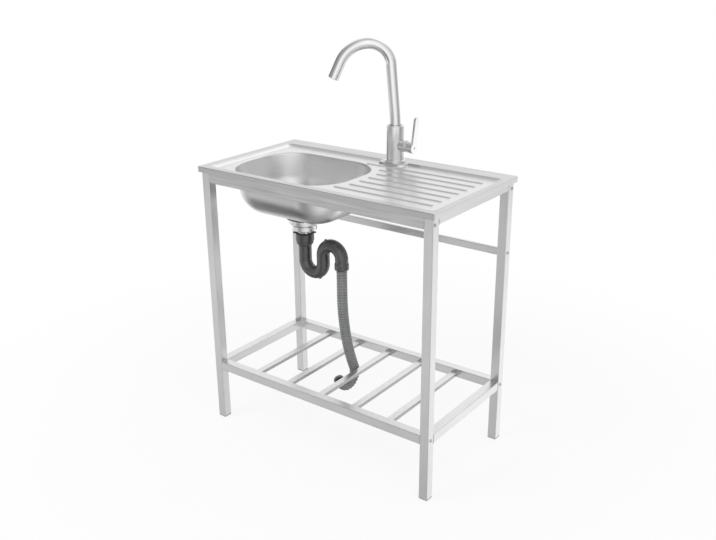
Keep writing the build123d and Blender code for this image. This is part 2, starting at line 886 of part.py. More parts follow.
def make_tap_body():
    plane = upright(tap_x, tap_y)
    hole = shank_diameter / 2 + tap_clearance
    outer = tap_body_diameter / 2
    inner = outer - tap_body_wall
    mouth = spout_diameter / 2 + spout_fit + bush_wall + tap_clearance
    base = tap_ring_diameter / 2
    tap_ring = turned(
        plane,
        [
            (hole, top_height),
            (base, top_height),
            (base, tap_ring_top - tap_ring_edge),
            (base - tap_ring_edge, tap_ring_top),
            (hole, tap_ring_top),
        ],
    )
    save(tap_ring, "tap_base_ring")
    shell = turned(
        plane,
        [
            (hole, tap_ring_top),
            (outer, tap_ring_top),
            (outer, tap_body_top - tap_body_edge),
            (outer - tap_body_edge, tap_body_top),
            (mouth, tap_body_top),
            (mouth, tap_body_top - tap_body_wall),
            (inner, tap_body_top - tap_body_wall),
            (inner, tap_ring_top + tap_body_floor),
            (hole, tap_ring_top + tap_body_floor),
        ],
    )
    with BuildPart() as tap_body:
        add(shell.part)
        with BuildSketch(along_x(tap_x, tap_y, valve_z)):
            Circle(valve_diameter / 2 + tap_clearance)
        extrude(amount=tap_body_diameter, mode=Mode.SUBTRACT)
    save(tap_body, "tap_body")
    bore = spout_diameter / 2 + spout_fit
    skin = bore + bush_wall
    groove = bore + ring_section + tap_clearance
    bush_bottom = spout_bottom - tap_clearance - bush_floor
    tap_bush = turned(
        plane,
        [
            (bore - spout_wall, bush_bottom),
            (skin, bush_bottom),
            (skin, tap_body_top),
            (skin + bush_rim, tap_body_top),
            (skin + bush_rim, tap_body_top + bush_lip),
            (groove, tap_body_top + bush_lip),
            (groove, tap_body_top - tap_clearance),
            (bore, tap_body_top - tap_clearance),
            (bore, bush_bottom + bush_floor),
            (bore - spout_wall, bush_bottom + bush_floor),
        ],
    )
    save(tap_bush, "tap_spout_bush")
    low = tap_body_top - tap_clearance
    rubber = ring(plane, groove - tap_clearance / 2, bore + tap_clearance, low, low + ring_section)
    save(rubber, "tap_o_ring")


def make_spout():
    lean = math.radians(spout_lean)
    lean_start = tap_body_top + spout_lean_start
    lean_end = (spout_lean_radius * (1 - math.cos(lean)), lean_start + spout_lean_radius * math.sin(lean))
    crown_start = (lean_end[0] + (spout_crown_start - lean_end[1]) * math.tan(lean), spout_crown_start)
    crown = (
        crown_start[0] + spout_crown_radius * math.cos(lean),
        crown_start[1] - spout_crown_radius * math.sin(lean),
    )
    fall = (crown[0], crown[1] + spout_crown_radius - spout_fall_radius)
    side = Plane(
        origin=(tap_x, tap_y, 0),
        x_dir=spout_direction,
        z_dir=Vector(*spout_direction).cross(Vector(0, 0, 1)),
    )
    with BuildPart() as spout_tube:
        with BuildLine(side) as route:
            Line((0, spout_bottom), (0, lean_start))
            CenterArc((spout_lean_radius, lean_start), spout_lean_radius, 180, -spout_lean)
            Line(lean_end, crown_start)
            CenterArc(crown, spout_crown_radius, 180 - spout_lean, spout_lean - 90)
            CenterArc(fall, spout_fall_radius, 90, -spout_fall_angle)
            PolarLine(route.line @ 1, spout_end_length, -spout_fall_angle)
        with BuildSketch(Plane.XY.offset(spout_bottom)):
            with Locations((tap_x, tap_y)):
                Circle(spout_diameter / 2)
                Circle(spout_diameter / 2 - spout_wall, mode=Mode.SUBTRACT)
        sweep(path=route.line)
    save(spout_tube, "spout_tube")
    tip = route.line @ 1
    onward = route.line % 1
    across = Vector(0, 0, 1).cross(onward).normalized()
    end = Plane(origin=tip, x_dir=across, z_dir=across.cross(onward))
    outer = spout_diameter / 2
    spigot = outer - spout_wall - tap_clearance
    bore = outer - aerator_wall
    housing = turned(
        end,
        [
            (bore, aerator_length),
            (outer - aerator_edge, aerator_length),
            (outer, aerator_length - aerator_edge),
            (outer, tap_clearance),
            (spigot, tap_clearance),
            (spigot, -aerator_spigot),
            (bore, -aerator_spigot),
        ],
    )
    save(housing, "aerator_housing")
    with BuildPart() as aerator_insert:
        with BuildSketch(Plane(origin=tip + onward * aerator_length, z_dir=-onward)):
            Circle(bore - aerator_insert_fit)
            with GridLocations(aerator_hole_pitch, aerator_hole_pitch, aerator_rows, aerator_rows):
                Circle(aerator_hole_diameter / 2, mode=Mode.SUBTRACT)
        extrude(amount=aerator_insert_length)
    save(aerator_insert, "aerator_insert")


def make_valve():
    level = valve_plane(0)
    bore = valve_diameter / 2 - valve_wall
    inner_end = valve_inner_end - (pivot_x - tap_x)
    housing = turned(
        level,
        [
            (valve_floor, inner_end),
            (valve_diameter / 2, inner_end),
            (valve_diameter / 2, -pivot_gap - valve_edge),
            (valve_diameter / 2 - valve_edge, -pivot_gap),
            (bore, -pivot_gap),
            (bore, inner_end + valve_floor),
            (valve_floor, inner_end + valve_floor),
        ],
    )
    save(housing, "valve_housing")
    rotor = rotor_diameter / 2
    skin = bore - rotor_fit
    cartridge = turned(
        level,
        [
            (0, inner_end + valve_floor + tap_clearance),
            (skin, inner_end + valve_floor + tap_clearance),
            (skin, -cartridge_front),
            (rotor + rotor_fit, -cartridge_front),
            (rotor + rotor_fit, -rotor_length - tap_clearance),
            (0, -rotor_length - tap_clearance),
        ],
    )
    save(cartridge, "valve_cartridge")
    dome_hole = dome_bore / 2
    dome_face = math.sqrt(dome_radius**2 - dome_hole**2)
    dome_root = math.sqrt(dome_radius**2 - pivot_gap**2)
    middle = dome_radius / math.sqrt(2)
    with BuildPart() as dome:
        with BuildSketch(level):
            with BuildLine():
                Line((dome_hole, tap_clearance - cartridge_front), (skin, tap_clearance - cartridge_front))
                Line((skin, tap_clearance - cartridge_front), (skin, -pivot_gap))
                Line((skin, -pivot_gap), (dome_root, -pivot_gap))
                ThreePointArc((dome_root, -pivot_gap), (dome_radius, 0), (dome_hole, dome_face))
                Line((dome_hole, dome_face), (dome_hole, tap_clearance - cartridge_front))
            make_face()
        revolve(axis=Axis(level.origin, level.y_dir))
    save(dome, "cartridge_dome_nut")
    with BuildPart() as cartridge_rotor:
        with BuildSketch(along_x(pivot_x - rotor_length, tap_y, valve_z)):
            Circle(rotor)
        extrude(amount=rotor_length + rotor_fork)
        with BuildSketch(along_x(pivot_x - rotor_slot_floor, tap_y, valve_z)):
            Rectangle(rotor_slot, 2 * rotor_diameter)
        extrude(amount=rotor_slot_floor + rotor_fork, mode=Mode.SUBTRACT)
        with BuildSketch(along_y(pivot_x, tap_y - rotor_diameter, valve_z)):
            Circle(stem_pin_diameter / 2 + stem_pin_fit)
        extrude(amount=2 * rotor_diameter, mode=Mode.SUBTRACT)
    save(cartridge_rotor, "cartridge_rotor")
    with BuildPart() as stem_pin:
        with BuildSketch(along_y(pivot_x, tap_y - rotor + stem_pin_inset, valve_z)):
            Circle(stem_pin_diameter / 2)
        extrude(amount=rotor_diameter - 2 * stem_pin_inset)
    save(stem_pin, "stem_pin")


def make_lever():
    tilted = valve_plane(lever_lean)
    outward = Plane(origin=tilted.origin, x_dir=(0, 1, 0), z_dir=tilted.y_dir)
    stem = stem_diameter / 2
    with BuildPart() as lever_stem:
        with BuildSketch(outward.offset(stem_start)):
            Circle(stem)
        extrude(amount=stem_end - stem_start)
        with BuildSketch(along_y(pivot_x, tap_y - stem_diameter, valve_z)):
            Circle(stem_pin_diameter / 2 + stem_pin_fit)
        extrude(amount=2 * stem_diameter, mode=Mode.SUBTRACT)
    save(lever_stem, "lever_stem")
    inner = dome_radius + hub_gap
    inner_mouth = math.sqrt(inner**2 - hub_start**2)
    outer = valve_diameter / 2
    socket = stem + stem_seat_fit
    with BuildPart() as lever_handle:
        with BuildSketch(tilted):
            with BuildLine():
                Line((inner_mouth, hub_start), (outer, hub_start))
                Line((outer, hub_start), (outer, hub_end - hub_edge))
                Line((outer, hub_end - hub_edge), (outer - hub_edge, hub_end))
                Line((outer - hub_edge, hub_end), (0, hub_end))
                Line((0, hub_end), (0, inner))
                ThreePointArc((0, inner), (inner / math.sqrt(2), inner / math.sqrt(2)), (inner_mouth, hub_start))
            make_face()
        revolve(axis=Axis(tilted.origin, tilted.y_dir))
        root = lever_root_width / 2
        tip = lever_tip_width / 2
        with BuildSketch(outward.offset(hub_end - lever_thickness)):
            with BuildLine():
                Line((-root, lever_root), (root, lever_root))
                Line((root, lever_root), (tip, lever_length - tip))
                ThreePointArc((tip, lever_length - tip), (0, lever_length), (-tip, lever_length - tip))
                Line((-tip, lever_length - tip), (-root, lever_root))
            make_face()
        extrude(amount=lever_thickness)
        with BuildSketch(outward):
            Circle(socket)
        extrude(amount=stem_end + stem_end_gap, mode=Mode.SUBTRACT)
        with BuildSketch(outward.offset(hub_end)):
            Circle(cap_diameter / 2 + cap_fit)
        extrude(amount=-cap_thickness, mode=Mode.SUBTRACT)
        below = Plane(origin=tilted.origin + tilted.y_dir * grub_place, x_dir=(0, 1, 0), z_dir=-tilted.x_dir)
        with BuildSketch(below):
            Circle(grub_diameter / 2 + grub_fit)
        extrude(amount=valve_diameter, mode=Mode.SUBTRACT)
    save(lever_handle, "lever_handle")
    with BuildPart() as lever_cap:
        with BuildSketch(outward.offset(hub_end)):
            Circle(cap_diameter / 2)
        extrude(amount=-cap_thickness)
    save(lever_cap, "lever_cap")
    with BuildPart() as grub_screw:
        with BuildSketch(below.offset(stem)):
            Circle(grub_diameter / 2)
        extrude(amount=outer - stem - grub_recess)
        with BuildSketch(below.offset(outer - grub_recess)):
            RegularPolygon(grub_socket / 2, 6, major_radius=False)
        extrude(amount=-grub_socket_depth, mode=Mode.SUBTRACT)
    save(grub_screw, "lever_grub_screw")


def make_shank():
    plane = upright(tap_x, tap_y)
    hole = shank_diameter / 2 + tap_clearance
    bottom = plateau_under - shank_length
    top = tap_ring_top + tap_body_floor - tap_clearance
    save(ring(plane, shank_diameter / 2, shank_bore / 2, bottom, top), "tap_shank")
    gasket_bottom = plateau_under - shank_gasket_thickness
    washer_bottom = gasket_bottom - shank_washer_thickness
    rim = shank_washer_diameter / 2
    save(ring(plane, rim, hole, gasket_bottom, plateau_under), "shank_gasket")
    save(ring(plane, rim, hole, washer_bottom, gasket_bottom), "shank_washer")
    with BuildPart() as shank_nut:
        with BuildSketch(Plane.XY.offset(washer_bottom)):
            with Locations((tap_x, tap_y)):
                RegularPolygon(shank_nut_across_flats / 2, 6, major_radius=False)
                Circle(hole, mode=Mode.SUBTRACT)
        extrude(amount=-shank_nut_height)
    save(shank_nut, "shank_nut")
    for side, name in ((-1, "inlet_tail_hot"), (1, "inlet_tail_cold")):
        axis = upright(tap_x + side * tail_spacing / 2, tap_y)
        save(ring(axis, tail_diameter / 2, tail_bore / 2, bottom - tail_length, top), name)


make_frame()
make_deck()
make_bowl()
make_strainer()
make_basket()
make_trap()
make_hose()
make_tap_body()
make_spout()
make_valve()
make_lever()
make_shank()
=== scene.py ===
"""Looks of the kitchen sink unit: camera, drain hose, spout, welds, thread, finishes, floor and light.

Lengths are in metres and angles in degrees where nothing else is said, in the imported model's frame.
"""
import json
import math

import bmesh
import bpy
from mathutils import Matrix, Vector


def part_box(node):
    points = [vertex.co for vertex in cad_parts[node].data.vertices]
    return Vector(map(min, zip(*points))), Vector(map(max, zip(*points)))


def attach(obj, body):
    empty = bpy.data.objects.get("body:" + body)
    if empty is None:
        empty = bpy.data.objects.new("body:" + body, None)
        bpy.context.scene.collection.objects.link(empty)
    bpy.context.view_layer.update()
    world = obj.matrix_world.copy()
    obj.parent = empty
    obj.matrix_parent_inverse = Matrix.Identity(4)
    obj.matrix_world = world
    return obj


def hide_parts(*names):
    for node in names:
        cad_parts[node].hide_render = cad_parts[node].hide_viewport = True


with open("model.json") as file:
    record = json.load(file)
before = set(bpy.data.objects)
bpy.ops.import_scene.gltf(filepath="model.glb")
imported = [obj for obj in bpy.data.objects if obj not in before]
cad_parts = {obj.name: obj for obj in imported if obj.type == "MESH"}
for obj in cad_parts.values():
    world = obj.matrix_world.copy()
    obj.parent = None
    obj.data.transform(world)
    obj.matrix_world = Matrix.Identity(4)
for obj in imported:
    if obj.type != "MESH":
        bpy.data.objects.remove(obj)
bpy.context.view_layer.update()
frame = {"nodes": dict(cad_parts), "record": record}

# ---------------------------------------------------------------- camera
CAMERA_PLACE = (1.3592, -1.7987, 1.3539)
CAMERA_HEADING = 36.84
CAMERA_DIP = 21.04
CAMERA_ROLL = -0.48
CAMERA_LENS = 44.43  # mm
SENSOR_WIDTH = 36.0  # mm
CAMERA_REACH = 50.0


def make_camera():
    data = bpy.data.cameras.new("camera")
    data.lens = CAMERA_LENS
    data.sensor_width = SENSOR_WIDTH
    data.clip_end = CAMERA_REACH
    camera = bpy.data.objects.new("camera", data)
    bpy.context.scene.collection.objects.link(camera)
    heading = Matrix.Rotation(math.radians(CAMERA_HEADING), 4, "Z")
    dip = Matrix.Rotation(math.radians(90 - CAMERA_DIP), 4, "X")
    roll = Matrix.Rotation(math.radians(CAMERA_ROLL), 4, "Z")
    camera.matrix_world = Matrix.Translation(CAMERA_PLACE) @ heading @ dip @ roll
    bpy.context.scene.camera = camera


make_camera()


# ---------------------------------------------------------------- rings, tubes and pieces
def tube_frames(points):
    """An across and an up direction at each point, carried along without twist."""
    frames = []
    across = Vector((1, 0, 0))
    for index in range(len(points)):
        ahead = points[min(index + 1, len(points) - 1)] - points[max(index - 1, 0)]
        ahead.normalize()
        across = (across - ahead * across.dot(ahead)).normalized()
        frames.append((across.copy(), ahead.cross(across)))
    return frames


def add_ring(shape, middle, directions, radius, sides):
    across, up = directions
    ring = []
    for side in range(sides):
        turn = 2 * math.pi * side / sides
        ring.append(shape.verts.new(middle + (across * math.cos(turn) + up * math.sin(turn)) * radius))
    return ring


def join_rings(shape, rings):
    """Faces all round between each ring and the next."""
    for one, two in zip(rings, rings[1:]):
        for side in range(len(one)):
            after = (side + 1) % len(one)
            shape.faces.new((one[side], one[after], two[after], two[side]))


def cap_ends(shape, rings):
    shape.faces.new(reversed(rings[0]))
    shape.faces.new(rings[-1])


def finished_mesh(name, shape, hard_angle=None):
    """The shape as a mesh that faces outward. Edges that turn by more than the hard angle stay crisp."""
    mesh = bpy.data.meshes.new(name)
    bmesh.ops.recalc_face_normals(shape, faces=shape.faces)
    if hard_angle is not None:
        for edge in shape.edges:
            if len(edge.link_faces) == 2 and edge.calc_face_angle(0.0) > math.radians(hard_angle):
                edge.smooth = False
    shape.to_mesh(mesh)
    shape.free()
    return mesh


def tube_mesh(name, points, skins, sides, hard_angle=None):
    """A hollow tube. Its skins say at which point each ring lies, and how wide it is."""
    frames = tube_frames(points)
    shape = bmesh.new()
    rings = [add_ring(shape, points[index], frames[index], radius, sides) for index, radius in skins]
    join_rings(shape, rings + rings[:1])
    return finished_mesh(name, shape, hard_angle)


def new_piece(name, mesh, body, smooth=True):
    piece = bpy.data.objects.new(name, mesh)
    bpy.context.scene.collection.objects.link(piece)
    if smooth:
        mesh.polygons.foreach_set("use_smooth", [True] * len(mesh.polygons))
    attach(piece, body)
    return piece


# ---------------------------------------------------------------- drain hose
HOSE_ROUTE = [
    (-0.021, -0.030, 0.5052),
    (-0.021, -0.030, 0.445),
    (-0.025, -0.024, 0.372),
    (-0.029, -0.009, 0.300),
    (-0.030, 0.006, 0.240),
    (-0.028, 0.023, 0.186),
    (-0.027, 0.036, 0.153),
    (-0.027, 0.013, 0.1255),
    (-0.028, -0.025, 0.128),
    (-0.028, -0.043, 0.161),
]
HOSE_RADIUS = 0.015
HOSE_ROOT = 0.0129
HOSE_BORE = 0.0118
HOSE_PITCH = 0.0085
HOSE_SIDES = 40
RIB_STEPS = 8
RIB_FULLNESS = 0.6  # under 1, the crests are wider than the valleys
SPLINE_STEPS = 24


def spline_points(route):
    """Points along the smooth NURBS line that has the route as its control points."""
    curve = bpy.data.curves.new("route", "CURVE")
    curve.dimensions = "3D"
    spline = curve.splines.new("NURBS")
    spline.points.add(len(route) - 1)
    for point, place in zip(spline.points, route):
        point.co = (*place, 1.0)
    spline.order_u = 3
    spline.use_endpoint_u = True
    spline.resolution_u = SPLINE_STEPS
    holder = bpy.data.objects.new("route", curve)
    bpy.context.scene.collection.objects.link(holder)
    bpy.context.view_layer.update()
    mesh = bpy.data.meshes.new_from_object(holder)
    points = [vertex.co.copy() for vertex in mesh.vertices]
    bpy.data.objects.remove(holder)
    bpy.data.meshes.remove(mesh)
    return points


def even_points(points, step):
    """The same line as points at even steps from its start."""
    here = points[0].copy()
    spaced = [here.copy()]
    left = step
    for target in points[1:]:
        run = (target - here).length
        while run >= left:
            here = here + (target - here) * (left / run)
            spaced.append(here.copy())
            run = (target - here).length
            left = step
        left -= run
        here = target.copy()
    return spaced


def rib_radius(distance):
    """The hose's outer radius at this distance along it: rounded crests over narrow valleys."""
    phase = distance / HOSE_PITCH % 1.0
    crest = 0.5 - 0.5 * math.cos(2 * math.pi * phase)
    return HOSE_ROOT + (HOSE_RADIUS - HOSE_ROOT) * crest**RIB_FULLNESS


def make_hose():
    step = HOSE_PITCH / RIB_STEPS
    points = even_points(spline_points(HOSE_ROUTE), step)
    outside = [(index, rib_radius(index * step)) for index in range(len(points))]
    bore = [(index, HOSE_BORE) for index in reversed(range(0, len(points), RIB_STEPS))]
    mesh = tube_mesh("drain_hose_corrugated", points, outside + bore, HOSE_SIDES)
    hose = new_piece("drain_hose_corrugated", mesh, "stand")
    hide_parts("drain_hose")
    return hose


hose = make_hose()

# ---------------------------------------------------------------- spout tube
SPOUT_FOOT = (0.030, 0.148)  # where it stands
SPOUT_WAY = (-0.8, -0.6)  # the level direction that it reaches in
SPOUT_START = 0.834
SPOUT_LEAN_START = 0.866
SPOUT_LEAN_RADIUS = 0.300
SPOUT_LEAN = 4.65
SPOUT_CROWN_START = 1.0245
SPOUT_CROWN_RADIUS = 0.060
SPOUT_FALL_RADIUS = 0.081
SPOUT_FALL = 65.5
SPOUT_END = 0.037
SPOUT_RADIUS = 0.01425
SPOUT_BORE = 0.01265
SPOUT_SIDES = 72
SPOUT_HARD_ANGLE = 34.4
RUN_STEPS = 8
LEAN_STEPS = 12
RISE_STEPS = 20
BEND_STEPS = 60


def on_arc(middle, radius, turn):
    return (middle[0] + radius * math.cos(turn), middle[1] + radius * math.sin(turn))


def arc_points(middle, radius, start, end, steps):
    """Points from one angle in radians to another, without the last."""
    return [on_arc(middle, radius, start + (end - start) * step / steps) for step in range(steps)]


def run_points(start, end, steps):
    """Points along a straight run, without the last."""
    return [tuple(a + (b - a) * step / steps for a, b in zip(start, end)) for step in range(steps)]


def spout_line():
    """The spout's middle line in its own upright plane, as reach and height."""
    lean = math.radians(SPOUT_LEAN)
    fall = math.radians(SPOUT_FALL)
    level = math.pi / 2
    foot = (0.0, SPOUT_START)
    lean_foot = (0.0, SPOUT_LEAN_START)
    lean_middle = (SPOUT_LEAN_RADIUS, SPOUT_LEAN_START)
    lean_end = on_arc(lean_middle, SPOUT_LEAN_RADIUS, math.pi - lean)
    rise = SPOUT_CROWN_START - lean_end[1]
    crown_foot = (lean_end[0] + rise * math.tan(lean), SPOUT_CROWN_START)
    crown_middle = on_arc(crown_foot, SPOUT_CROWN_RADIUS, -lean)
    fall_middle = (crown_middle[0], crown_middle[1] + SPOUT_CROWN_RADIUS - SPOUT_FALL_RADIUS)
    fall_end = on_arc(fall_middle, SPOUT_FALL_RADIUS, level - fall)
    tip = on_arc(fall_end, SPOUT_END, -fall)
    return (
        run_points(foot, lean_foot, RUN_STEPS)
        + arc_points(lean_middle, SPOUT_LEAN_RADIUS, math.pi, math.pi - lean, LEAN_STEPS)
        + run_points(lean_end, crown_foot, RISE_STEPS)
        + arc_points(crown_middle, SPOUT_CROWN_RADIUS, math.pi - lean, level, BEND_STEPS)
        + arc_points(fall_middle, SPOUT_FALL_RADIUS, level, level - fall, BEND_STEPS)
        + run_points(fall_end, tip, RUN_STEPS)
        + [tip]
    )


def make_spout():
    points = [
        Vector((SPOUT_FOOT[0] + SPOUT_WAY[0] * reach, SPOUT_FOOT[1] + SPOUT_WAY[1] * reach, height))
        for reach, height in spout_line()
    ]
    outside = [(index, SPOUT_RADIUS) for index in range(len(points))]
    bore = [(index, SPOUT_BORE) for index in reversed(range(len(points)))]
    mesh = tube_mesh("spout_tube_smooth", points, outside + bore, SPOUT_SIDES, SPOUT_HARD_ANGLE)
    spout = new_piece("spout_tube_smooth", mesh, "spout")
    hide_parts("spout_tube")
    return spout


spout = make_spout()

# ---------------------------------------------------------------- welds and thread
SHELF_BARS = [f"shelf_bar_{number}" for number in range(1, 6)]
WELDED = SHELF_BARS + ["upper_rail_left", "upper_rail_right", "shelf_rail_left", "shelf_rail_right"]
WELD_RADIUS = 0.0013
WELD_STEP = 0.0009
WELD_SIDES = 10
WELD_RIPPLE = 0.0018  # from one ripple to the next
WELD_RIPPLE_SHARE = 0.14
WELD_UNEVEN_SHARE = 0.08
WELD_UNEVEN_TURN = 0.37  # radians a step
WELD_UNEVEN_START = 900.0  # radians a metre along x, so that the beads differ
THREAD_PITCH = 0.0015
THREAD_DEPTH = 0.0007
THREAD_SIDES = 48
THREAD_WIDTH = 0.96 * THREAD_PITCH
THREAD_PROFILE = ((-0.5, -0.2), (-0.12, 1.0), (0.12, 1.0), (0.5, -0.2))  # as shares of width and depth


def add_weld(shape, corners):
    """A rippled bead along the runs between these corners, half sunk in the joint."""
    points = [Vector(corners[0])]
    for start, end in zip(corners, corners[1:]):
        start, end = Vector(start), Vector(end)
        steps = max(2, round((end - start).length / WELD_STEP))
        points += [start.lerp(end, step / steps) for step in range(1, steps + 1)]
    rings = []
    for index, (middle, directions) in enumerate(zip(points, tube_frames(points))):
        wave = math.sin(2 * math.pi * index * WELD_STEP / WELD_RIPPLE)
        ripple = 1 - WELD_RIPPLE_SHARE + WELD_RIPPLE_SHARE * wave
        drift = math.sin(index * WELD_UNEVEN_TURN + middle.x * WELD_UNEVEN_START)
        uneven = 1 + WELD_UNEVEN_SHARE * drift
        rings.append(add_ring(shape, middle, directions, WELD_RADIUS * ripple * uneven, WELD_SIDES))
    join_rings(shape, rings)
    cap_ends(shape, rings)


def end_corners(low, high, end):
    """The corners of a tube's end where it meets another tube: up one side, over the top and down."""
    sides = ((low, low), (low, high), (high, high), (high, low))
    return [(side[0], end, height[2]) for side, height in sides]


def make_welds():
    """Beads where the shelf's bars and the end rails are welded on."""
    shape = bmesh.new()
    for name in WELDED:
        low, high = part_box(name)
        for end in (low[1], high[1]):
            add_weld(shape, end_corners(low, high, end))
    return new_piece("frame_welds", finished_mesh("frame_welds", shape), "stand")


def thread_row(shape, middle, radius, turn, height, fade):
    """The ridge's corners at one place of a turn. The crest fades out at the thread's ends."""
    row = []
    for lift, out in THREAD_PROFILE:
        far = radius + THREAD_DEPTH * (out * fade if out > 0 else out)
        x, y = on_arc(middle, far, turn)
        row.append(shape.verts.new((x, y, height + lift * THREAD_WIDTH)))
    return row


def make_thread():
    """The screw thread round the tap's shank, below its nut."""
    low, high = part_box("tap_shank")
    nut_low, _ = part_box("shank_nut")
    middle = ((low[0] + high[0]) / 2, (low[1] + high[1]) / 2)
    radius = (high[0] - low[0]) / 2
    turns = (nut_low[2] - low[2] - 2 * THREAD_PITCH) / THREAD_PITCH
    total = int(turns * THREAD_SIDES)
    shape = bmesh.new()
    rows = []
    for index in range(total + 1):
        turn = 2 * math.pi * index / THREAD_SIDES
        height = low[2] + THREAD_PITCH + THREAD_PITCH * index / THREAD_SIDES
        fade = min(1.0, index / THREAD_SIDES, (total - index) / THREAD_SIDES)
        rows.append(thread_row(shape, middle, radius, turn, height, fade))
    join_rings(shape, rows)
    cap_ends(shape, rows)
    return new_piece("shank_thread", finished_mesh("shank_thread", shape), "stand", smooth=False)


welds = make_welds()
thread = make_thread()


# ---------------------------------------------------------------- shader nodes
def gray(value):
    return (value, value, value)


def new_material(name):
    material = bpy.data.materials.new(name)
    material.use_nodes = True
    tree = material.node_tree
    return material, tree, tree.nodes["Principled BSDF"]


def add_place(tree, scale=(1, 1, 1)):
    """The object's own coordinates, stretched by the scale."""
    place = tree.nodes.new("ShaderNodeTexCoord")
    mapping = tree.nodes.new("ShaderNodeMapping")
    mapping.inputs["Scale"].default_value = scale
    tree.links.new(place.outputs["Object"], mapping.inputs["Vector"])
    return mapping.outputs["Vector"]


def add_noise(tree, vector, scale, detail=3.0, roughness=0.55):
    noise = tree.nodes.new("ShaderNodeTexNoise")
    noise.inputs["Scale"].default_value = scale
    noise.inputs["Detail"].default_value = detail
    noise.inputs["Roughness"].default_value = roughness
    tree.links.new(vector, noise.inputs["Vector"])
    return noise.outputs["Fac"]


def add_range(tree, value, low, high, start=0.3, end=0.7):
    spread = tree.nodes.new("ShaderNodeMapRange")
    spread.inputs["From Min"].default_value = start
    spread.inputs["From Max"].default_value = end
    spread.inputs["To Min"].default_value = low
    spread.inputs["To Max"].default_value = high
    tree.links.new(value, spread.inputs["Value"])
    return spread.outputs["Result"]


def add_ramp(tree, value, stops):
    ramp = tree.nodes.new("ShaderNodeValToRGB")
    elements = ramp.color_ramp.elements
    while len(elements) < len(stops):
        elements.new(0.5)
    for element, (place, color) in zip(elements, stops):
        element.position = place
        element.color = (*color, 1.0)
    tree.links.new(value, ramp.inputs["Fac"])
    return ramp.outputs["Color"]


def add_bump(tree, shader, height, strength, distance):
    bump = tree.nodes.new("ShaderNodeBump")
    bump.inputs["Strength"].default_value = strength
    bump.inputs["Distance"].default_value = distance
    tree.links.new(height, bump.inputs["Height"])
    tree.links.new(bump.outputs["Normal"], shader.inputs["Normal"])


def add_math(tree, operation, *values):
    step = tree.nodes.new("ShaderNodeMath")
    step.operation = operation
    for socket, value in zip(step.inputs, values):
        if isinstance(value, (int, float)):
            socket.default_value = value
        else:
            tree.links.new(value, socket)
    return step.outputs[0]


def add_split(tree, vector):
    split = tree.nodes.new("ShaderNodeSeparateXYZ")
    tree.links.new(vector, split.inputs[0])
    return split.outputs["X"], split.outputs["Y"], split.outputs["Z"]


def mix_color(tree, share, one, two):
    """The first color where the share is 0, and the second, a socket or a plain color, where it is 1."""
    mix = tree.nodes.new("ShaderNodeMixRGB")
    tree.links.new(share, mix.inputs["Fac"])
    tree.links.new(one, mix.inputs["Color1"])
    if isinstance(two, tuple):
        mix.inputs["Color2"].default_value = (*two, 1)
    else:
        tree.links.new(two, mix.inputs["Color2"])
    return mix.outputs[0]


def mix_shader(tree, share, one, two):
    mix = tree.nodes.new("ShaderNodeMixShader")
    tree.links.new(share, mix.inputs["Fac"])
    tree.links.new(one, mix.inputs[1])
    tree.links.new(two, mix.inputs[2])
    return mix.outputs[0]


def within(tree, value, half, soft):
    """1 where the value is within half of zero, and 0 past that by soft."""
    return add_range(tree, add_math(tree, "ABSOLUTE", value), 1.0, 0.0, half, half + soft)


# ---------------------------------------------------------------- finishes
# a brushed finish has the scales of its grain and of its streaks. It runs the way of the smallest scale
SINK_BRUSHING = ((60, 60, 300), (12, 12, 40))
FIXING_BRUSHING = ((90, 90, 90), (300, 300, 300))
WELD_BRUSHING = ((400, 400, 400), (120, 120, 120))
WASTE_BRUSHING = ((90, 90, 260), (60, 60, 200))
BRASS_BRUSHING = ((200, 200, 200), (90, 90, 90))
DECK_BRUSHING = ((3, 420, 420), (9, 120, 120))
GRAIN_ROUGHNESS = 0.7
STREAK_ROUGHNESS = 0.6
STEEL_DETAIL = (6.0, 4.0)  # of the grain and of the streaks
STEEL_RAMP = (0.36, 0.64)  # the noise levels between which the tone goes from dark to light
STEEL_CLOUD_SCALE = 7.0
STEEL_BUMP_STRENGTH = 0.25
STEEL_BUMP = 0.00002
FRAME_TONE = 0.79
FRAME_ROUGHNESS = 0.32
FRAME_SPREAD = 0.05
FRAME_GRAIN = (320.0, 4.0)  # scales across and along a tube
FRAME_STREAKS = (110.0, 9.0)
# the bars' sides get a darker tone than their brushed tops: painted shade
BAR_SIDE_SHADE_TONE = 0.46
BAR_SIDE_DARK = 0.85  # the darkest streak's share of the tone
BAR_SIDE_STREAKS = (90, 6, 90)
BAR_SIDE_DETAIL = 4.0
BAR_SIDE_RAMP = (0.35, 0.65)
BAR_TOP_SLOPE = (0.5, 0.9)  # the normal's z between which a bar's side turns into its top
DECK_RECESS = (0.363, 0.186)  # half its size, x and y
DECK_RECESS_SOFT = 0.002
DECK_SLOPE = (0.7590, 0.7640)  # the heights between which the recess turns into the border
DECK_END_FACE = 0.3738  # the border's end faces lie past this x
DECK_END_SOFT = 0.0006
DECK_DETAIL = (5.0, 3.0)
DECK_BORDER_RAMP = (0.38, 0.62)
DECK_BORDER_DARK = 0.82
DECK_END_DARK = 0.92
DECK_RECESS_DARK = 0.96
DECK_CLOUD_SCALE = 6.0
DECK_CLOUD_SPREAD = 0.03
DECK_SPREAD = (-0.05, 0.07)  # added to the roughness
DECK_BUMP_STRENGTH = 0.2
SMEAR_SCALE = 90.0
SMEAR_RAMP = (0.35, 0.65)
SMEAR_DARK = 0.985
SMEAR_SPREAD = (0.9, 1.12)  # times the roughness
SKIN_SCALE = 900.0
SKIN_CLOUD_SCALE = 35.0
SKIN_RAMP = (0.3, 0.7)
SKIN_CONTRAST = 0.12
SKIN_SPREAD = (0.85, 1.15)  # times the roughness
SKIN_BUMP_STRENGTH = 0.3
SKIN_BUMP = 0.00003


def shade_ramp(tree, value, ends, dark, light):
    """From the dark color to the light one, as the value goes from one end to the other."""
    return add_ramp(tree, value, list(zip(ends, (dark, light))))


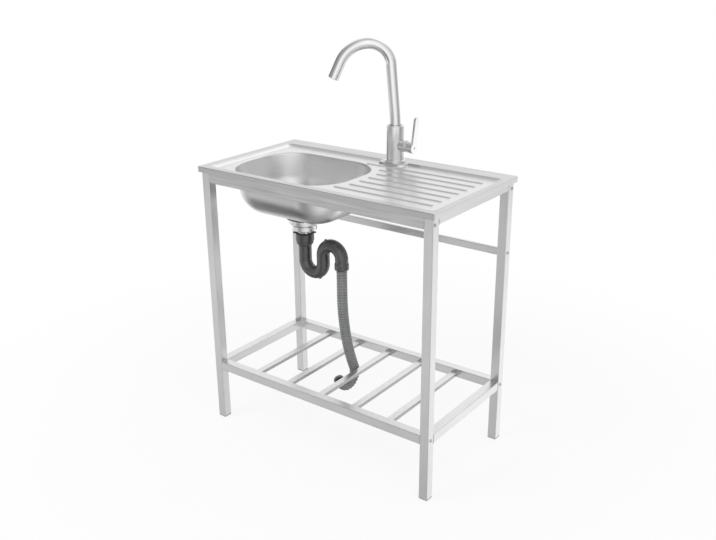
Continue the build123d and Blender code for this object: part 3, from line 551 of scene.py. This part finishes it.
def add_brushing(tree, brushing, detail):
    """A fine grain, and its mean with broader streaks."""
    grain = add_noise(tree, add_place(tree, brushing[0]), 1.0, detail[0], GRAIN_ROUGHNESS)
    broad = add_noise(tree, add_place(tree, brushing[1]), 1.0, detail[1], STREAK_ROUGHNESS)
    return grain, add_math(tree, "MULTIPLY", add_math(tree, "ADD", grain, broad), 0.5)


def set_roughness(tree, shader, lines, rough, cloud_scale, cloud_spread):
    """Roughness that follows the brushed lines, with faint clouds over it."""
    cloud = add_noise(tree, add_place(tree), cloud_scale)
    fine = add_range(tree, lines, *rough)
    uneven = add_range(tree, cloud, -cloud_spread, cloud_spread)
    tree.links.new(add_math(tree, "ADD", fine, uneven), shader.inputs["Roughness"])


def brushed_steel(name, color, roughness, brushing, spread=0.06, depth=STEEL_BUMP, contrast=0.10):
    """Satin metal: a fine grain over broader streaks, with uneven roughness."""
    material, tree, shader = new_material(name)
    shader.inputs["Metallic"].default_value = 1.0
    grain, lines = add_brushing(tree, brushing, STEEL_DETAIL)
    dark = tuple(c * (1 - contrast) for c in color)
    tree.links.new(shade_ramp(tree, lines, STEEL_RAMP, dark, color), shader.inputs["Base Color"])
    rough = (roughness - spread, roughness + spread)
    set_roughness(tree, shader, lines, rough, STEEL_CLOUD_SCALE, spread / 2)
    add_bump(tree, shader, grain, STEEL_BUMP_STRENGTH, depth)
    return material


def frame_tube(name, axis, contrast=0.13):
    """Frame tube, brushed along its length, which lies along the axis of this number."""
    brushing = [[across] * 3 for across, _ in (FRAME_GRAIN, FRAME_STREAKS)]
    for scale, (_, along) in zip(brushing, (FRAME_GRAIN, FRAME_STREAKS)):
        scale[axis] = along
    tone = gray(FRAME_TONE)
    return brushed_steel(name, tone, FRAME_ROUGHNESS, brushing, FRAME_SPREAD, contrast=contrast)


def bar_steel(name):
    """A shelf bar: drawn flat tube, brushed on top, with painted shade that makes its streaked sides darker.
    """
    material = frame_tube(name, 1)
    tree = material.node_tree
    base = tree.nodes["Principled BSDF"].inputs["Base Color"]
    brushed = base.links[0].from_socket
    normal = tree.nodes.new("ShaderNodeNewGeometry").outputs["True Normal"]
    # where the normal turns from up, the sides take the painted shade tone, with faint streaks over it
    upward = add_range(tree, add_split(tree, normal)[2], 0.0, 1.0, *BAR_TOP_SLOPE)
    streaks = add_noise(tree, add_place(tree, BAR_SIDE_STREAKS), 1.0, BAR_SIDE_DETAIL)
    dark = gray(BAR_SIDE_SHADE_TONE * BAR_SIDE_DARK)
    shaded_sides = shade_ramp(tree, streaks, BAR_SIDE_RAMP, dark, gray(BAR_SIDE_SHADE_TONE))
    tree.links.new(mix_color(tree, upward, shaded_sides, brushed), base)
    return material


def deck_steel(name, border, recess, roughness):
    """The sink top: the border is brushed along the front and painted darker than the pressed recess, as
    painted shade for how its brushing reflects.
    """
    material, tree, shader = new_material(name)
    shader.inputs["Metallic"].default_value = 1.0
    grain, lines = add_brushing(tree, DECK_BRUSHING, DECK_DETAIL)
    x, y, z = add_split(tree, add_place(tree))
    inside = add_math(
        tree,
        "MULTIPLY",
        within(tree, x, DECK_RECESS[0], DECK_RECESS_SOFT),
        within(tree, y, DECK_RECESS[1], DECK_RECESS_SOFT),
    )
    recessed = add_math(tree, "MULTIPLY", inside, add_range(tree, z, 1.0, 0.0, *DECK_SLOPE))
    between_ends = within(tree, x, DECK_END_FACE, DECK_END_SOFT)
    # the border's tone, below the recess's, is painted shade
    border_dark = gray(border * DECK_BORDER_DARK)
    shaded_border_color = shade_ramp(tree, lines, DECK_BORDER_RAMP, border_dark, gray(border))
    end_color = shade_ramp(tree, lines, STEEL_RAMP, gray(recess * DECK_END_DARK), gray(recess))
    recess_color = shade_ramp(tree, lines, STEEL_RAMP, gray(recess * DECK_RECESS_DARK), gray(recess))
    edge_color = mix_color(tree, between_ends, end_color, shaded_border_color)
    tree.links.new(mix_color(tree, recessed, edge_color, recess_color), shader.inputs["Base Color"])
    rough = [roughness + spread for spread in DECK_SPREAD]
    set_roughness(tree, shader, lines, rough, DECK_CLOUD_SCALE, DECK_CLOUD_SPREAD)
    add_bump(tree, shader, grain, DECK_BUMP_STRENGTH, STEEL_BUMP)
    return material


def polished(name, color, roughness):
    """Chrome, with a faint smear."""
    material, tree, shader = new_material(name)
    shader.inputs["Metallic"].default_value = 1.0
    smear = add_noise(tree, add_place(tree), SMEAR_SCALE)
    rough = [roughness * spread for spread in SMEAR_SPREAD]
    tree.links.new(add_range(tree, smear, *rough), shader.inputs["Roughness"])
    dark = tuple(c * SMEAR_DARK for c in color)
    tree.links.new(shade_ramp(tree, smear, SMEAR_RAMP, dark, color), shader.inputs["Base Color"])
    return material


def moulded(name, color, roughness, specular=0.5):
    """Moulded plastic or rubber with a fine skin."""
    material, tree, shader = new_material(name)
    shader.inputs["Specular IOR Level"].default_value = specular
    place = add_place(tree)
    grain = add_noise(tree, place, SKIN_SCALE)
    cloud = add_noise(tree, place, SKIN_CLOUD_SCALE)
    dark = tuple(c * (1 - SKIN_CONTRAST) for c in color)
    light = tuple(c * (1 + SKIN_CONTRAST) for c in color)
    tree.links.new(shade_ramp(tree, cloud, SKIN_RAMP, dark, light), shader.inputs["Base Color"])
    rough = [roughness * spread for spread in SKIN_SPREAD]
    tree.links.new(add_range(tree, cloud, *rough), shader.inputs["Roughness"])
    add_bump(tree, shader, grain, SKIN_BUMP_STRENGTH, SKIN_BUMP)
    return material


# one finish for each material slot of the record, and one for the welds
FINISHES = {
    "sink_steel": brushed_steel(
        "sink_steel", gray(0.80), 0.36, SINK_BRUSHING, spread=0.03, depth=0.00001, contrast=0.05
    ),
    "frame_steel": frame_tube("frame_steel", 2),
    "fixing_steel": brushed_steel("fixing_steel", gray(0.62), 0.35, FIXING_BRUSHING),
    "weld_steel": brushed_steel("weld_steel", gray(0.72), 0.34, WELD_BRUSHING),
    "waste_steel": brushed_steel("waste_steel", gray(0.80), 0.24, WASTE_BRUSHING),
    "tap_chrome": polished("tap_chrome", gray(0.78), 0.16),
    "tap_brass": brushed_steel("tap_brass", (0.72, 0.55, 0.28), 0.30, BRASS_BRUSHING),
    "foot_plastic": moulded("foot_plastic", gray(0.42), 0.5),
    "plug_plastic": moulded("plug_plastic", gray(0.05), 0.5),
    "seal_rubber": moulded("seal_rubber", gray(0.012), 0.6),
    "waste_plastic": moulded("waste_plastic", (0.052, 0.052, 0.054), 0.26, specular=0.9),
    "hose_plastic": moulded("hose_plastic", (0.20, 0.204, 0.204), 0.30, specular=1.0),
    "insert_plastic": moulded("insert_plastic", gray(0.5), 0.3),
}
# the frame's tubes by the axis that they lie along
FRAME_TUBES = [frame_tube("frame_steel_x", 0), frame_tube("frame_steel_y", 1), FINISHES["frame_steel"]]
# nodes that don't take their slot's finish
OWN_FINISHES = {
    # the border's lower tone than the recess is painted shade
    "sink_deck": deck_steel("sink_deck_steel", border=0.68, recess=0.79, roughness=0.32),
    "upper_rail_front": frame_tube("front_rail_steel", 0, contrast=0.36),
}
OWN_FINISHES.update(dict.fromkeys(SHELF_BARS, bar_steel("bar_steel")))


def finish_nodes():
    slots = {entry["node"]: entry["material_slot"] for entry in frame["record"]["subparts"]}
    for name, node in frame["nodes"].items():
        finish = OWN_FINISHES.get(name, FINISHES[slots[name]])
        if finish == FINISHES["frame_steel"]:
            spans = list(node.dimensions)
            finish = FRAME_TUBES[spans.index(max(spans))]
        node.data.materials.clear()
        node.data.materials.append(finish)


finish_nodes()
for piece, finish in (
    (hose, "hose_plastic"),
    (spout, "tap_chrome"),
    (welds, "weld_steel"),
    (thread, "tap_brass"),
):
    piece.data.materials.append(FINISHES[finish])

# ---------------------------------------------------------------- floor and light
FLOOR_RADIUS = 6.0
FLOOR_SEGMENTS = 96
FLOOR_DROP = 0.0005  # below the feet, so that they don't share its plane
FLOOR_TONE = 0.86
SHADOW_SHARE = 0.14  # how much of the matt floor the camera sees near the object
SHADOW_REACH = (0.7, 1.5)  # that share fades out between these distances
SOFT_LIGHT = 0.75
ROOM_PEAK = 1.5  # the lightest that the studio can be
# the studio that the metal mirrors: how light it is by degrees round from +X, with the front at -90.
# looking down: pale left and front right, dark in front and right, a bright panel and a dark one behind
LOW_ROOM = [
    (-180, 1.05),
    (-120, 1.00),
    (-105, 0.20),
    (-90, 0.25),
    (-40, 0.95),
    (-15, 0.95),
    (10, 0.45),
    (30, 0.45),
    (65, 1.45),
    (90, 0.40),
    (125, 0.40),
    (145, 1.00),
    (180, 1.05),
]
# about level: dark at the front left and the rear right, a broad window at the front right
MID_ROOM = [
    (-180, 0.85),
    (-130, 0.40),
    (-115, 0.40),
    (-60, 1.25),
    (-30, 1.10),
    (30, 0.40),
    (90, 0.85),
    (180, 0.85),
]
# looking up: the same, with a lighter back
HIGH_ROOM = [
    (-180, 0.80),
    (-130, 0.40),
    (-110, 0.35),
    (-55, 1.25),
    (40, 0.60),
    (100, 1.05),
    (145, 1.05),
    (180, 0.80),
]
# the heights of the way to look, as sines, between which each ring gives way to the next
RING_CHANGES = ((-0.31, -0.22), (0.05, 0.20))
# soft places of their own: the way to them, their half angle and how light they are
ROOM_SPOTS = [
    ((0, 0, -1), 35, 0.45),
    ((-0.55, -0.20, -0.80), 35, 0.06),
    ((0, 0, 1), 35, 0.65),
    ((0, 0.70, 0.70), 25, 1.40),
    ((-0.65, -0.55, 0.45), 30, 0.40),
    ((-0.95, -0.10, 0.30), 25, 0.15),
]
SPOT_CORE = 0.4  # the share of the half angle within which a soft place is even
# the lamps: name, place and watts
LAMPS = [("key", (-1.2, -2.2, 2.8), 30), ("fill", (2.2, -0.8, 2.2), 14)]
LAMP_AIM = (0, 0, 0.5)
LAMP_SIZE = 1.6


def floor_material():
    """White to the camera, with a share of matt near the object for its shadow, and clear to glossy rays."""
    material = bpy.data.materials.new("floor")
    material.use_nodes = True
    tree = material.node_tree
    tree.nodes.clear()
    path = tree.nodes.new("ShaderNodeLightPath")
    white = tree.nodes.new("ShaderNodeEmission")
    white.inputs["Strength"].default_value = 1.0
    matt = tree.nodes.new("ShaderNodeBsdfDiffuse")
    matt.inputs["Color"].default_value = (*gray(FLOOR_TONE), 1)
    away = tree.nodes.new("ShaderNodeVectorMath")
    away.operation = "LENGTH"
    tree.links.new(add_place(tree), away.inputs[0])
    pale = add_range(tree, away.outputs["Value"], 1 - SHADOW_SHARE, 1.0, *SHADOW_REACH)
    share = add_math(tree, "MULTIPLY", path.outputs["Is Camera Ray"], pale)
    shaded = mix_shader(tree, share, matt.outputs[0], white.outputs[0])
    clear = tree.nodes.new("ShaderNodeBsdfTransparent")
    seen = mix_shader(tree, path.outputs["Is Glossy Ray"], shaded, clear.outputs[0])
    out = tree.nodes.new("ShaderNodeOutputMaterial")
    tree.links.new(seen, out.inputs["Surface"])
    return material


def make_floor():
    mesh = bpy.data.meshes.new("floor")
    shape = bmesh.new()
    bmesh.ops.create_circle(shape, cap_ends=True, segments=FLOOR_SEGMENTS, radius=FLOOR_RADIUS)
    shape.to_mesh(mesh)
    shape.free()
    floor = bpy.data.objects.new("floor", mesh)
    floor.location = (0, 0, -FLOOR_DROP)
    bpy.context.scene.collection.objects.link(floor)
    mesh.materials.append(floor_material())


def room_rings(tree, way):
    """The studio all round, as the color of each way to look."""
    x, y, z = add_split(tree, way)
    turn = add_range(tree, add_math(tree, "ARCTAN2", y, x), 0.0, 1.0, -math.pi, math.pi)
    rings = [
        add_ramp(tree, turn, [((angle + 180) / 360, gray(level / ROOM_PEAK)) for angle, level in levels])
        for levels in (LOW_ROOM, MID_ROOM, HIGH_ROOM)
    ]
    room = rings[0]
    for ring, change in zip(rings[1:], RING_CHANGES):
        room = mix_color(tree, add_range(tree, z, 0.0, 1.0, *change), room, ring)
    return room


def add_room_spot(tree, way, room, spot, half_angle, level):
    """The room with a soft round place in it."""
    near = tree.nodes.new("ShaderNodeVectorMath")
    near.operation = "DOT_PRODUCT"
    tree.links.new(way, near.inputs[0])
    near.inputs[1].default_value = Vector(spot).normalized()
    edge = math.cos(math.radians(half_angle))
    core = math.cos(math.radians(half_angle * SPOT_CORE))
    share = add_range(tree, near.outputs["Value"], 0.0, 1.0, edge, core)
    return mix_color(tree, share, room, gray(level / ROOM_PEAK))


def add_background(tree, color=(1, 1, 1), strength=1.0):
    background = tree.nodes.new("ShaderNodeBackground")
    background.inputs["Color"].default_value = (*color, 1)
    background.inputs["Strength"].default_value = strength
    return background


def make_world():
    """Even soft light, white to the camera, and a studio of panels for the metal to mirror."""
    world = bpy.data.worlds.new("studio")
    bpy.context.scene.world = world
    world.use_nodes = True
    tree = world.node_tree
    tree.nodes.clear()
    path = tree.nodes.new("ShaderNodeLightPath")
    way = tree.nodes.new("ShaderNodeTexCoord").outputs["Generated"]
    room = room_rings(tree, way)
    for spot, half_angle, level in ROOM_SPOTS:
        room = add_room_spot(tree, way, room, spot, half_angle, level)
    mirrored = add_background(tree, strength=ROOM_PEAK)
    tree.links.new(room, mirrored.inputs["Color"])
    soft = add_background(tree, gray(SOFT_LIGHT))
    white = add_background(tree)
    lit = mix_shader(tree, path.outputs["Is Glossy Ray"], soft.outputs[0], mirrored.outputs[0])
    seen = mix_shader(tree, path.outputs["Is Camera Ray"], lit, white.outputs[0])
    out = tree.nodes.new("ShaderNodeOutputWorld")
    tree.links.new(seen, out.inputs["Surface"])


def add_lamp(name, place, power):
    data = bpy.data.lights.new(name, "AREA")
    data.shape = "DISK"
    data.size = LAMP_SIZE
    data.energy = power
    lamp = bpy.data.objects.new(name, data)
    lamp.location = place
    lamp.visible_glossy = False
    lamp.rotation_euler = (Vector(LAMP_AIM) - Vector(place)).to_track_quat("-Z", "Y").to_euler()
    bpy.context.scene.collection.objects.link(lamp)


make_floor()
make_world()
for lamp_name, lamp_place, lamp_power in LAMPS:
    add_lamp(lamp_name, lamp_place, lamp_power)

bpy.context.scene.view_settings.view_transform = "Standard"
